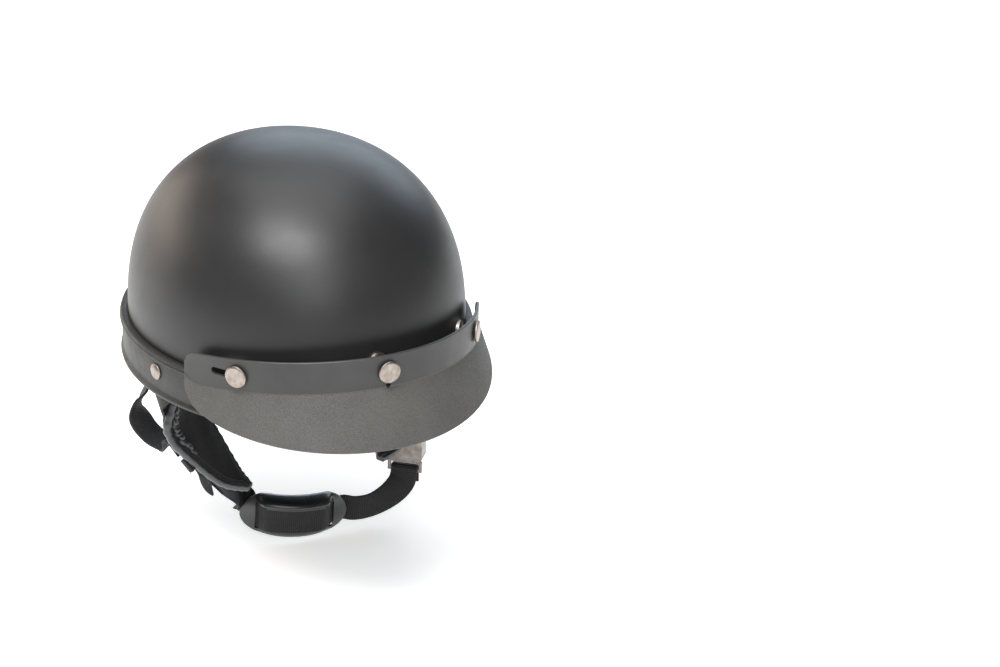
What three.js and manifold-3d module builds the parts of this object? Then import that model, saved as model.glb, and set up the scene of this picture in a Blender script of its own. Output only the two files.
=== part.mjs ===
// Open-face motorcycle half helmet: painted shell, foam liner, leather-look rim band,
// visor peak held by snaps, ear pads and a webbing harness with a chin cup and a push-button buckle.
// Millimetres. Origin: middle of the head opening, in the plane of the rim's lower edge.
// +Z is up, the wearer faces -Y, and +X is the wearer's left.
import * as THREE from 'three';
import { mergeVertices } from 'three/addons/utils/BufferGeometryUtils.js';
import Module from 'manifold-3d';

// Shell
const SHELL_HALF_WIDTH = 113.5;
const SHELL_HALF_LENGTH = 131;
const SHELL_WALL = 4;
const SKIRT_HEIGHT = 29.7;
const DOME_RISE = 121.8;
const DOME_EXPONENT = 0.86;
const SHELL_EDGE = 2;
const GAP = 0.3;

// Foam liner and linings
const FOAM_OUTER = 4.4;
const FOAM_INNER = 22.4;
const FOAM_EDGE = 8;
const LINING_THICKNESS = 3;
const HEADBAND_THICKNESS = 8;
const HEADBAND_LOW = 12;
const HEADBAND_HIGH = 52;

// Rim band
const BAND_PROUD = 4.4;
const BAND_TOP = 29.7;
const BEAD_PROUD = 6;

// Visor
const FLANGE_A = 118.7;
const FLANGE_B = 147.1;
const FLANGE_THICKNESS = 2;
const FLANGE_HEIGHT = 22.5;
const FLANGE_FRONT_Z = 43.9;
const FLANGE_PITCH = 0.127;
const FLANGE_END = THREE.MathUtils.degToRad(63);
const PEAK_REACH = 20;
const PEAK_DROP = 33.4;
const PEAK_SHAPE = 0.53;

// Snap fasteners
const CAP_RADIUS = 7.5;
const CAP_STANDOFF = 0.9;
const SOCKET_RADIUS = 6;
const SIDE_SNAP = THREE.MathUtils.degToRad(45.2);
const SLOT_HALF_HEIGHT = 2.4;
const SLOT_LENGTH = 17;

// Webbing
const WEB_WIDTH = 20;
const WEB_THICK = 1.8;
const RIVET_Z = 17;
const RIVET_SIDE = THREE.MathUtils.degToRad(75.6);
const RIVET_REAR = THREE.MathUtils.degToRad(120);
const STRAP_OFFSET = -6.5;

// Ear pads
const PAD_HALF_THICKNESS = 4;

// Chin cup, measured along the strap, forward and up from the middle of the cup's chord
const CUP_CENTRE = new THREE.Vector3(-4.5, 0, -132.3);
const CUP_ALONG = new THREE.Vector3(75, -20, -5.5).normalize();
const CUP_HALF_LENGTH = 39;
const CUP_BULGE = 14;
const CUP_TOP = 18;
const CUP_CROWN = 5;
const CUP_BOTTOM = 15;
const CUP_WALL = 2.4;
const CUP_SLOT = 25;
const WEB_LIFT = 1;

// Buckle: origin on the bar, lengthwise axis vertical
const BAR_CENTRE = new THREE.Vector3(81, -10, -108);
const BUCKLE_TURN = THREE.MathUtils.degToRad(139);
const HOUSING_HALF_WIDTH = 14;
const HOUSING_HEIGHT = 27;
const HOUSING_DEPTH = 13;
const TONGUE_WIDTH = 20;

const wasm = await Module();
wasm.setup();
const V = (x, y, z) => new THREE.Vector3(x, y, z);

function toSolid(geometry) {
  const bare = geometry.clone();
  bare.deleteAttribute('normal');
  bare.deleteAttribute('uv');
  const welded = mergeVertices(bare, 1e-4);
  return new wasm.Manifold(new wasm.Mesh({
    numProp: 3,
    vertProperties: new Float32Array(welded.attributes.position.array),
    triVerts: new Uint32Array(welded.index.array),
  }));
}

function toGeometry(solid) {
  const mesh = solid.getMesh();
  const geometry = new THREE.BufferGeometry();
  geometry.setAttribute('position', new THREE.BufferAttribute(mesh.vertProperties, 3));
  geometry.setIndex(new THREE.BufferAttribute(mesh.triVerts, 1));
  geometry.computeVertexNormals();
  return geometry;
}

function subtract(base, tools) {
  return toGeometry(tools.reduce((left, tool) => left.subtract(toSolid(tool)), toSolid(base)));
}

function unite(parts) {
  return toGeometry(parts.slice(1).reduce((sum, part) => sum.add(toSolid(part)), toSolid(parts[0])));
}

// Moves every vertex of a geometry, then turns its faces outward if the move mirrored them.
function reshape(geometry, move) {
  const bare = geometry.clone();
  bare.deleteAttribute('normal');
  bare.deleteAttribute('uv');
  const welded = mergeVertices(bare, 1e-4);
  const position = welded.attributes.position;
  const index = welded.index;
  for (let i = 0; i < position.count; i += 1) {
    const moved = move(V(position.getX(i), position.getY(i), position.getZ(i)));
    position.setXYZ(i, moved.x, moved.y, moved.z);
  }
  let volume = 0;
  const corner = (i) => V().fromBufferAttribute(position, index.getX(i));
  for (let i = 0; i < index.count; i += 3) {
    volume += corner(i).dot(corner(i + 1).cross(corner(i + 2)));
  }
  if (volume < 0) {
    for (let i = 0; i < index.count; i += 3) {
      const first = index.getX(i);
      index.setX(i, index.getX(i + 1));
      index.setX(i + 1, first);
    }
  }
  return welded;
}

// A closed bar through `steps` sections of `sides` corners: place(side, travel) is a corner.
function loft(sides, steps, place) {
  const tube = new THREE.CylinderGeometry(1, 1, 1, sides, steps);
  return reshape(tube, (p) => {
    const travel = 0.5 - p.y;
    if (Math.hypot(p.x, p.z) < 0.5) {
      const middle = V(0, 0, 0);
      for (let side = 0; side < sides; side += 1) middle.add(place(side, travel));
      return middle.divideScalar(sides);
    }
    const turn = Math.round((Math.atan2(p.x, p.z) / (2 * Math.PI)) * sides);
    return place((turn + sides) % sides, travel);
  });
}

function wallPoint(theta, offset, z, a = SHELL_HALF_WIDTH, b = SHELL_HALF_LENGTH) {
  const normal = V(Math.sin(theta) / a, -Math.cos(theta) / b, 0).normalize();
  return V(a * Math.sin(theta), -b * Math.cos(theta), z).addScaledVector(normal, offset);
}

// A ring that follows the shell's plan: profile points are [offset from the wall, height].
function rimRing(profile, segments) {
  const nominal = 1000;
  const points = profile.map(([offset, z]) => new THREE.Vector2(nominal + offset, z));
  const lathe = new THREE.LatheGeometry([...points, points[0]], segments);
  return reshape(lathe, (p) => {
    return wallPoint(Math.atan2(p.x, p.z), Math.hypot(p.x, p.z) - nominal, p.y);
  });
}

// A solid dome inset from the shell's outer face, with a straight skirt down to `bottom`.
function domeSolid(inset, bottom, segments, rings) {
  const points = [new THREE.Vector2(0, bottom), new THREE.Vector2(1, bottom)];
  for (let i = 0; i <= rings; i += 1) {
    const t = (Math.PI / 2) * (i / rings);
    const radius = i === rings ? 0 : Math.cos(t) ** DOME_EXPONENT;
    const rise = (DOME_RISE - inset) * Math.sin(t) ** DOME_EXPONENT;
    points.push(new THREE.Vector2(radius, SKIRT_HEIGHT + rise));
  }
  const a = SHELL_HALF_WIDTH - inset;
  const b = SHELL_HALF_LENGTH - inset;
  return reshape(new THREE.LatheGeometry(points, segments), (p) => V(p.x * a, -p.z * b, p.y));
}

// Frame at a point: +Z along `outward`, +Y as near to world up as it can be.
function facing(point, outward) {
  const z = outward.clone().normalize();
  const x = V(0, 0, 1).cross(z).normalize();
  const y = z.clone().cross(x);
  return new THREE.Matrix4().makeBasis(x, y, z).setPosition(point);
}

function wallFrame(theta, z, offset = 0) {
  const point = wallPoint(theta, offset, z);
  return facing(point, wallPoint(theta, 1 + offset, z).sub(point));
}

// A turned piece about +Z of its frame: profile points are [radius, height].
function turned(profile, frame, segments = 12) {
  const points = profile.map(([r, h]) => new THREE.Vector2(r, h));
  const lathe = new THREE.LatheGeometry(points, segments);
  lathe.rotateX(Math.PI / 2);
  return reshape(lathe, (p) => p.applyMatrix4(frame));
}

function drill(radius, from, to, frame, segments = 12) {
  return turned([[0, from], [radius, from], [radius, to], [0, to]], frame, segments);
}

function block(size, centre, frame = new THREE.Matrix4()) {
  const box = new THREE.BoxGeometry(size[0], size[1], size[2]);
  box.translate(centre[0], centre[1], centre[2]);
  return reshape(box, (p) => p.applyMatrix4(frame));
}

// A flat strap along a smooth line: each stop is { at, across }.
function ribbon(stops, steps, width = WEB_WIDTH, thickness = WEB_THICK) {
  const line = new THREE.CatmullRomCurve3(stops.map((s) => s.at), false, 'centripetal');
  const edge = new THREE.CatmullRomCurve3(stops.map((s) => s.across), false, 'centripetal');
  return loft(4, steps, (side, travel) => {
    const along = line.getTangent(travel);
    const across = edge.getPoint(travel);
    across.addScaledVector(along, -across.dot(along)).normalize();
    const face = along.clone().cross(across).normalize();
    const u = side === 0 || side === 3 ? 0.5 : -0.5;
    const v = side < 2 ? 0.5 : -0.5;
    return line.getPoint(travel).addScaledVector(across, u * width).addScaledVector(face, v * thickness);
  });
}

// ---- Shell, liner and rim -------------------------------------------------------------

const SNAPS = [
  { name: 'center', theta: 0 },
  { name: 'left', theta: SIDE_SNAP },
  { name: 'right', theta: -SIDE_SNAP },
];
const RIVETS = [
  { name: 'side_left', theta: RIVET_SIDE },
  { name: 'side_right', theta: -RIVET_SIDE },
  { name: 'rear_left', theta: RIVET_REAR },
  { name: 'rear_right', theta: -RIVET_REAR },
];

function flangeZ(y) {
  return FLANGE_FRONT_Z - FLANGE_PITCH * (y + FLANGE_B);
}

function flangePoint(theta, offset) {
  const point = wallPoint(theta, offset, 0, FLANGE_A, FLANGE_B);
  point.z = flangeZ(wallPoint(theta, 0, 0, FLANGE_A, FLANGE_B).y);
  return point;
}

// Frame of a snap: origin on the flange's mid surface, +Z straight out through the cap.
function snapFrame(theta) {
  const point = flangePoint(theta, 0);
  return facing(point, flangePoint(theta, 1).sub(point));
}

// Distance from the flange's mid surface in to the shell, along the snap's axis.
function shellDepth(theta) {
  const frame = snapFrame(theta);
  const rise = (flangePoint(theta, 0).z - SKIRT_HEIGHT) / DOME_RISE;
  const shrink = Math.cos(Math.asin(rise ** (1 / DOME_EXPONENT))) ** DOME_EXPONENT;
  let depth = 0;
  let outside = true;
  while (outside) {
    depth += 0.05;
    const p = V(0, 0, -depth).applyMatrix4(frame);
    const reach = Math.hypot(p.x / SHELL_HALF_WIDTH, p.y / SHELL_HALF_LENGTH);
    outside = reach > shrink;
  }
  return depth;
}

function outerShell() {
  const hollow = domeSolid(SHELL_WALL, -5, 48, 10);
  const studHoles = SNAPS.map((s) => {
    const depth = shellDepth(s.theta);
    return drill(2.3, -depth - 3.2, 0, snapFrame(s.theta));
  });
  const rivetHoles = RIVETS.map((r) => drill(2.2, -8, 4, wallFrame(r.theta, RIVET_Z)));
  return subtract(domeSolid(0, SHELL_EDGE, 48, 12), [hollow, ...studHoles, ...rivetHoles]);
}

function foamLiner() {
  const pockets = RIVETS.map((r) => {
    return block([WEB_WIDTH + 5, 46, 8], [0, -6, -7.4], wallFrame(r.theta, RIVET_Z));
  });
  const hollow = domeSolid(FOAM_INNER, -5, 28, 8);
  return subtract(domeSolid(FOAM_OUTER, FOAM_EDGE, 48, 10), [hollow, ...pockets]);
}

function crownLining() {
  const low = block([300, 300, 80], [0, 0, HEADBAND_HIGH + 2 - 40]);
  const hollow = domeSolid(FOAM_INNER + GAP + LINING_THICKNESS, -5, 28, 8);
  return subtract(domeSolid(FOAM_INNER + GAP, 0, 28, 8), [low, hollow]);
}

function headband() {
  const back = -(FOAM_INNER + 2.2);
  const front = back - HEADBAND_THICKNESS;
  const soft = 2.5;
  return rimRing([
    [back, HEADBAND_LOW],
    [back, 46],
    [back - 3, HEADBAND_HIGH],
    [front + soft, HEADBAND_HIGH],
    [front, HEADBAND_HIGH - soft],
    [front, HEADBAND_LOW + soft],
    [front + soft, HEADBAND_LOW],
  ], 28);
}

function rimBand() {
  const ring = rimRing([
    [-SHELL_WALL + 0.5, 0],
    [BEAD_PROUD - 0.6, 0],
    [BEAD_PROUD - 0.2, 3.5],
    [BAND_PROUD, 5],
    [BAND_PROUD, BAND_TOP - 5],
    [BEAD_PROUD, BAND_TOP - 3],
    [BEAD_PROUD - 1.6, BAND_TOP],
    [GAP, BAND_TOP],
    [GAP, SHELL_EDGE - GAP],
    [-SHELL_WALL + 0.5, SHELL_EDGE - GAP],
  ], 48);
  return subtract(ring, RIVETS.map((r) => drill(2.2, -8, 12, wallFrame(r.theta, RIVET_Z))));
}

// ---- Visor and snaps ------------------------------------------------------------------

// Corner of the visor's cross-section: the flange, then the peak out and down from its lower edge.
function visorCorner(side, travel) {
  const theta = (2 * travel - 1) * FLANGE_END;
  const ease = Math.abs(2 * travel - 1);
  const round = Math.sqrt(Math.max(0, 1 - Math.max(0, (ease - 0.9) / 0.1) ** 2));
  const half = FLANGE_HEIGHT / 2 * (0.35 + 0.65 * round);
  const grow = Math.cos((Math.PI / 2) * ease) ** PEAK_SHAPE;
  const t = FLANGE_THICKNESS / 2;
  const reach = (f) => PEAK_REACH * grow * f;
  const drop = (f) => half + PEAK_DROP * grow * (f + 0.12 * f * (f - 1));
  const section = [
    [t, half],
    [t, half * 0.1],
    [t, -half],
    [t + reach(0.35), -drop(0.35)],
    [t + reach(0.7), -drop(0.7)],
    [t + reach(1), -drop(1)],
    [t - 1.6 + reach(1), -drop(1) - 0.8],
    [-t + reach(0.68), -drop(0.7) - 0.8],
    [-t + reach(0.3), -drop(0.35) - 0.8],
    [-t, -half - 0.6],
    [-t, half * 0.1],
    [-t, half],
  ];
  const [offset, height] = section[side];
  const point = flangePoint(theta, offset);
  point.z += height;
  return point;
}

function visorBody() {
  const body = loft(12, 36, visorCorner);
  const cuts = SNAPS.map((s) => {
    const frame = snapFrame(s.theta);
    if (s.theta === 0) {
      const notch = new THREE.CylinderGeometry(5.2, 5.2, 8, 3);
      notch.rotateX(Math.PI / 2);
      notch.rotateZ(Math.PI);
      notch.scale(0.8, 1.45, 1);
      notch.translate(0, -4.6, 0);
      return unite([
        reshape(notch, (p) => p.applyMatrix4(frame)),
        drill(SLOT_HALF_HEIGHT, -4, 4, frame),
      ]);
    }
    const rearward = Math.sign(s.theta);
    return unite([
      drill(SLOT_HALF_HEIGHT, -4, 4, frame),
      block([SLOT_LENGTH, 2 * SLOT_HALF_HEIGHT, 8], [rearward * SLOT_LENGTH / 2, 0, 0], frame),
    ]);
  });
  return subtract(body, cuts);
}

function snapStud(theta) {
  const depth = shellDepth(theta);
  const frame = snapFrame(theta);
  const headTop = -FLANGE_THICKNESS / 2 - CAP_STANDOFF - 0.5;
  const base = turned([
    [0, -depth - 3],
    [2, -depth - 3],
    [2, -depth - 2],
    [6.5, -depth - 2],
    [6.5, -depth + 1.6],
    [5.2, -depth + 2.6],
    [2.8, -depth + 2.6],
    [2.8, headTop - 2.2],
    [3.3, headTop - 1.2],
    [2.6, headTop],
    [0, headTop],
  ], frame);
  const shell = reshape(domeSolid(-GAP, 0, 48, 12), (p) => p);
  const shank = drill(2, -depth - 3, -depth + 1, frame);
  return unite([subtract(base, [shell]), shank]);
}

function snapSocket(theta) {
  const top = -FLANGE_THICKNESS / 2 - CAP_STANDOFF;
  return turned([
    [SOCKET_RADIUS, top],
    [2.2, top],
    [2.2, top - 0.4],
    [3.8, top - 0.6],
    [3.8, top - 3.4],
    [SOCKET_RADIUS - 1, top - 3.4],
    [SOCKET_RADIUS, top - 2.4],
    [SOCKET_RADIUS, top],
  ], snapFrame(theta));
}

function snapCap(theta) {
  const under = FLANGE_THICKNESS / 2 + CAP_STANDOFF;
  const foot = -FLANGE_THICKNESS / 2 - CAP_STANDOFF - 0.2;
  return turned([
    [0, foot],
    [1.9, foot],
    [1.9, under],
    [CAP_RADIUS - 0.6, under],
    [CAP_RADIUS, under + 0.7],
    [CAP_RADIUS - 0.5, under + 1.7],
    [CAP_RADIUS - 1.2, under + 2],
    [0, under + 2],
  ], snapFrame(theta), 20);
}

// ---- Rivets ---------------------------------------------------------------------------

function rivet(theta) {
  const seat = BAND_PROUD + GAP;
  return turned([
    [0, -10],
    [2.9, -9.6],
    [2.9, -9.1],
    [1.8, -9.1],
    [1.8, seat],
    [5.5, seat],
    [5.3, seat + 0.9],
    [3.6, seat + 1.7],
    [0, seat + 2],
  ], wallFrame(theta, RIVET_Z));
}

function rivetWasher(theta) {
  return turned([[2.1, -8.8], [4.5, -8.8], [4.5, -7.9], [2.1, -7.9], [2.1, -8.8]],
    wallFrame(theta, RIVET_Z));
}

// ---- Ear pads and harness -------------------------------------------------------------

// Right side of the harness; the left side is its mirror image.
const PAD_LINE = new THREE.CatmullRomCurve3([
  V(-88.5, 6, 4), V(-91, 7, -18), V(-85, 3.4, -40), V(-74, -9, -59.4), V(-61.4, -22.9, -77.4),
  V(-50.6, -31.7, -84.6),
], false, 'centripetal');
const PAD_ACROSS = new THREE.CatmullRomCurve3([
  V(0.02, 1, 0), V(0.2, 0.98, 0.02), V(0.72, 0.7, 0.03), V(0.78, 0.62, 0.1), V(0.78, 0.59, 0.21),
  V(0.81, 0.55, 0.22),
], false, 'centripetal');

// Point on the pad: across and outward are distances from its middle line.
function padPoint(travel, across, outward) {
  const along = PAD_LINE.getTangent(travel);
  const side = PAD_ACROSS.getPoint(travel);
  side.addScaledVector(along, -side.dot(along)).normalize();
  const out = side.clone().cross(along).normalize();
  return PAD_LINE.getPoint(travel).addScaledVector(side, across).addScaledVector(out, outward);
}

function padSide(travel) {
  return padPoint(travel, 1, 0).sub(padPoint(travel, 0, 0));
}

function padHalfWidth(travel) {
  return 22.5 - 39.5 * Math.max(0, travel - 0.5) - 32 * Math.max(0, 0.35 - travel);
}

function earPad() {
  const corners = 12;
  return loft(corners, 12, (side, travel) => {
    const turn = (2 * Math.PI * side) / corners;
    const across = padHalfWidth(travel) * Math.cos(turn);
    const outward = PAD_HALF_THICKNESS * Math.sign(Math.sin(turn)) * Math.abs(Math.sin(turn)) ** 0.6;
    return padPoint(travel, across, outward);
  });
}

const STRAP_CLEAR = PAD_HALF_THICKNESS + 2.0 + WEB_THICK / 2;
const JUNCTION = V(-67, 1, -95);

function frontStrap(besides, lower) {
  const wall = (z) => {
    const at = wallPoint(-RIVET_SIDE, STRAP_OFFSET, z);
    return { at, across: wallPoint(-RIVET_SIDE - 0.1, STRAP_OFFSET, z).sub(at).normalize() };
  };
  const beside = (travel) => ({ at: padPoint(travel, -4, STRAP_CLEAR), across: padSide(travel) });
  const free = { at: V(-107.5, -16, -12), across: V(0.1, 0.99, 0) };
  const strap = ribbon([wall(28), wall(17), wall(6), free, ...besides.map(beside), ...lower], 30);
  return subtract(strap, [drill(2.2, -12, 0, wallFrame(-RIVET_SIDE, RIVET_Z))]);
}

function rearStrap(loop, joins) {
  const wall = (z) => {
    const at = wallPoint(-RIVET_REAR, STRAP_OFFSET, z);
    return { at, across: wallPoint(-RIVET_REAR - 0.1, STRAP_OFFSET, z).sub(at).normalize() };
  };
  const over = (travel) => ({
    at: padPoint(travel, -4, STRAP_CLEAR + WEB_THICK + 3.2),
    across: padSide(travel),
  });
  const strap = ribbon([wall(28), wall(17), wall(5), wall(-5), ...loop, ...joins.map(over)], 32);
  return subtract(strap, [drill(2.2, -12, 0, wallFrame(-RIVET_REAR, RIVET_Z))]);
}

// A stitched webbing bridge on the pad's outer face that holds the strap to it.
function strapKeeper(travel) {
  const at = padPoint(travel, -4, 0);
  const side = padSide(travel);
  const out = padPoint(travel, -4, 1).sub(at);
  const frame = new THREE.Matrix4().makeBasis(side, out.clone().cross(side).multiplyScalar(-1), out);
  frame.setPosition(at);
  const half = WEB_WIDTH / 2 + 1.8;
  const low = PAD_HALF_THICKNESS + 0.5;
  const high = STRAP_CLEAR + WEB_THICK + 1.8;
  return unite([
    block([2 * half + 3, 11, 1.4], [0, 0, high], frame),
    block([1.5, 11, high - low], [half + 0.75, 0, (high + low) / 2], frame),
    block([1.5, 11, high - low], [-half - 0.75, 0, (high + low) / 2], frame),
  ]);
}

function mirrored(geometry) {
  return reshape(geometry, (p) => V(-p.x, p.y, p.z));
}

// ---- Buckle ---------------------------------------------------------------------------

// Frame of the buckle: +X along the bar, +Y up the strap, +Z away from the wearer's cheek.
function buckleFrame() {
  const across = V(Math.cos(BUCKLE_TURN), Math.sin(BUCKLE_TURN), 0);
  const up = V(0, 0, 1);
  return new THREE.Matrix4().makeBasis(across, up, across.clone().cross(up))
    .setPosition(BAR_CENTRE);
}

const BUCKLE = buckleFrame();
const HOUSING_LOW = 6;
const HOUSING_TOP = HOUSING_LOW + HOUSING_HEIGHT;
const BUTTON = { low: 9, high: 19, half: 8, travel: 2.5 };

function buckleHousing() {
  const outer = new THREE.Shape();
  const w = HOUSING_HALF_WIDTH;
  outer.moveTo(-w + 2, HOUSING_LOW);
  outer.lineTo(w - 2, HOUSING_LOW);
  outer.quadraticCurveTo(w, HOUSING_LOW, w, HOUSING_LOW + 2);
  outer.lineTo(w, HOUSING_TOP - 4);
  outer.quadraticCurveTo(w, HOUSING_TOP, w - 4, HOUSING_TOP);
  outer.lineTo(-w + 4, HOUSING_TOP);
  outer.quadraticCurveTo(-w, HOUSING_TOP, -w, HOUSING_TOP - 4);
  outer.lineTo(-w, HOUSING_LOW + 2);
  outer.quadraticCurveTo(-w, HOUSING_LOW, -w + 2, HOUSING_LOW);
  const body = new THREE.ExtrudeGeometry(outer, { depth: HOUSING_DEPTH, bevelEnabled: false, curveSegments: 4 });
  body.translate(0, 0, -HOUSING_DEPTH / 2);
  const throat = block([TONGUE_WIDTH + 3, 18, 4.4], [0, HOUSING_LOW + 7, -1.2], BUCKLE);
  const strapSlot = block([WEB_WIDTH + 1.6, 8, 3], [0, HOUSING_TOP - 2, 0], BUCKLE);
  const mid = (BUTTON.low + BUTTON.high) / 2;
  const well = block([2 * BUTTON.half + 0.8, BUTTON.high - BUTTON.low + 0.8, 8], [0, mid, 5.4], BUCKLE);
  return subtract(reshape(body, (p) => p.applyMatrix4(BUCKLE)), [throat, strapSlot, well]);
}

function releaseButton() {
  const mid = (BUTTON.low + BUTTON.high) / 2;
  const face = new THREE.CylinderGeometry(1, 1, 2 * BUTTON.half, 12, 1);
  face.rotateZ(Math.PI / 2);
  face.scale(1, (BUTTON.high - BUTTON.low) / 2, 4);
  face.translate(0, mid, 6.2);
  return subtract(reshape(face, (p) => p.applyMatrix4(BUCKLE)), [
    block([40, 40, 20], [0, mid, -5.2], BUCKLE),
  ]);
}

function buckleTongue() {
  const plate = new THREE.Shape();
  const w = TONGUE_WIDTH / 2;
  plate.moveTo(-w - 3, -4);
  plate.lineTo(w + 3, -4);
  plate.lineTo(w + 3, 4.6);
  plate.lineTo(w, 5.2);
  plate.lineTo(w, 16);
  plate.lineTo(w - 4, 19);
  plate.lineTo(-w + 4, 19);
  plate.lineTo(-w, 16);
  plate.lineTo(-w, 5.2);
  plate.lineTo(-w - 3, 4.6);
  const slot = new THREE.Path();
  slot.moveTo(-w - 0.6, -0.8);
  slot.lineTo(-w - 0.6, 3);
  slot.lineTo(w + 0.6, 3);
  slot.lineTo(w + 0.6, -0.8);
  const latch = new THREE.Path();
  latch.moveTo(-4, 9.5);
  latch.lineTo(-4, 14);
  latch.lineTo(4, 14);
  latch.lineTo(4, 9.5);
  plate.holes.push(slot, latch);
  const flat = new THREE.ExtrudeGeometry(plate, { depth: 2, bevelEnabled: false });
  flat.translate(0, 0, -2.2);
  return reshape(flat, (p) => p.applyMatrix4(BUCKLE));
}

// ---- Chin strap and cup ---------------------------------------------------------------

const CUP_FORWARD = V(0, 0, 1).cross(CUP_ALONG).normalize().multiplyScalar(-1);
const CUP_UP = CUP_ALONG.clone().cross(CUP_FORWARD).normalize().multiplyScalar(-1);

function cupPoint(along, forward, up) {
  return CUP_CENTRE.clone()
    .addScaledVector(CUP_ALONG, along)
    .addScaledVector(CUP_FORWARD, forward)
    .addScaledVector(CUP_UP, up);
}

// Forward position of the cup's outer face, this far along it.
function cupFace(along) {
  return CUP_BULGE * (1 - (along / CUP_HALF_LENGTH) ** 2);
}

// The cup's section in the middle, as height and distance proud of the face: front surface
// upward, over the lip that covers the webbing's upper edge, back along the shelf, and down inside.
const CUP_SECTION = [
  [-CUP_BOTTOM, -3.5], [-8, -1], [0, 0], [11.5, 0],
  [11.5, 3.1], [9.8, 3.1], [9.8, 4.3], [12.6, 4.6], [15.4, 2.4], [17.2, -2], [CUP_TOP, -7],
  [CUP_TOP - 2, -8], [14.5, -4.5], [11.5, -CUP_WALL], [0, -CUP_WALL], [-8, -3.4], [-CUP_BOTTOM, -5.9],
];

function chinCup() {
  const shape = loft(CUP_SECTION.length, 22, (side, travel) => {
    const spread = Math.sin((travel - 0.5) * Math.PI);
    const along = spread * CUP_HALF_LENGTH;
    const wing = Math.min(1, Math.max(0, (Math.abs(along) - 23) / 6));
    const [height, proud] = CUP_SECTION[side];
    const shoulder = Math.sqrt(Math.max(0.02, 1 - Math.max(0, 2 * Math.abs(spread) - 1) ** 2));
    const lower = Math.max(0.12, (1 - Math.abs(spread) ** 3) ** 0.5);
    const up = height * (height > 0 ? shoulder : lower);
    const plain = (side < 11 ? 0 : -CUP_WALL) - CUP_CROWN * (up / CUP_TOP) ** 2;
    return cupPoint(along, cupFace(along) + proud + (plain - proud) * wing, up);
  });
  const slots = [-1, 1].map((end) => {
    const frame = new THREE.Matrix4().makeBasis(CUP_ALONG, CUP_UP, CUP_FORWARD);
    frame.setPosition(cupPoint(end * CUP_SLOT, cupFace(CUP_SLOT), WEB_LIFT));
    return block([8, WEB_WIDTH + 2, 16], [0, 0, 0], frame);
  });
  return subtract(shape, slots);
}

function chinWebbing() {
  const front = (along) => ({ at: cupPoint(along, cupFace(along) + 1.6, WEB_LIFT), across: CUP_UP });
  const behind = (along) => ({
    at: cupPoint(along, cupFace(along) - CUP_WALL - 3.9, WEB_LIFT),
    across: CUP_UP,
  });
  const bar = V(Math.cos(BUCKLE_TURN), Math.sin(BUCKLE_TURN), 0);
  const fold = (up, out) => ({ at: V(0, up, out).applyMatrix4(BUCKLE), across: bar });
  return ribbon([
    { at: JUNCTION.clone().add(V(3, 0.3, -2.4)), across: V(0.3, 0.92, -0.25) },
    { at: V(-57.5, 5, -103), across: V(0.3, 0.9, -0.1) },
    { at: V(-46.8, 10, -111.8), across: V(0.3, 0.9, 0.2) },
    { at: V(-37.5, 15.5, -121), across: V(0.1, 0.2, 0.97) },
    behind(-29.5),
    front(-20.5),
    front(-10),
    front(0),
    front(10),
    front(20.5),
    behind(29.5),
    behind(36),
    { at: cupPoint(46, -3.5, 0), across: CUP_UP },
    { at: V(54, -10, -135), across: V(-0.1, 0, 1) },
    { at: V(68.5, -11.5, -128.5), across: V(-0.4, 0.25, 0.85) },
    { at: V(76.5, -13, -119.5), across: V(-0.7, 0.5, 0.4) },
    fold(-4, -4),
    fold(0, -3.6),
    fold(1, -1.2),
    fold(0, 1.2),
    fold(-4, 1.7),
    fold(-13, 1.9),
  ], 84);
}

// ---- Assembly -------------------------------------------------------------------------

const PAINT = { color: 0x1c1d1f, roughness: 0.45, metalness: 0.1 };
const FOAM = { color: 0x2a2a2b, roughness: 0.95, metalness: 0 };
const CLOTH = { color: 0x161617, roughness: 0.95, metalness: 0 };
const BAND = { color: 0x2f3032, roughness: 0.6, metalness: 0 };
const PEAK = { color: 0x3c3c3a, roughness: 0.65, metalness: 0.1 };
const NICKEL = { color: 0xb8ab9c, roughness: 0.3, metalness: 1 };
const WEBBING = { color: 0x121213, roughness: 0.9, metalness: 0 };
const PLASTIC = { color: 0x17181a, roughness: 0.35, metalness: 0 };
const STEEL = { color: 0x8c8074, roughness: 0.4, metalness: 1 };
const RED = { color: 0xa81f24, roughness: 0.4, metalness: 0 };

const group = new THREE.Group();
group.name = 'motorcycle_helmet';

function add(name, geometry, look) {
  const mesh = new THREE.Mesh(geometry, new THREE.MeshStandardMaterial(look));
  mesh.name = name;
  group.add(mesh);
}

add('outer_shell', outerShell(), PAINT);
add('eps_liner', foamLiner(), FOAM);
add('crown_lining', crownLining(), CLOTH);
add('headband_pad', headband(), CLOTH);
add('rim_band', rimBand(), BAND);
add('visor', visorBody(), PEAK);
for (const snap of SNAPS) {
  add(`snap_stud_${snap.name}`, snapStud(snap.theta), STEEL);
  add(`snap_socket_${snap.name}`, snapSocket(snap.theta), STEEL);
  add(`snap_cap_${snap.name}`, snapCap(snap.theta), NICKEL);
}
for (const place of RIVETS) {
  add(`rivet_${place.name}`, rivet(place.theta), NICKEL);
  add(`washer_${place.name}`, rivetWasher(place.theta), STEEL);
}
add('ear_pad_right', earPad(), CLOTH);
add('ear_pad_left', mirrored(earPad()), CLOTH);
add('front_strap_right', frontStrap([0.3, 0.4, 0.5, 0.6, 0.68], [
  { at: JUNCTION, across: V(0.3, 0.92, -0.25) },
]), WEBBING);
add('front_strap_left', mirrored(frontStrap([0.26, 0.36, 0.46], [
  { at: V(-83, -9.5, -66), across: V(0.7, 0.71, 0) },
  { at: V(-81, -10, -74), across: V(0.755, 0.656, 0) },
  { at: V(-81, -10, -80), across: V(0.755, 0.656, 0) },
])), WEBBING);
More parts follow.
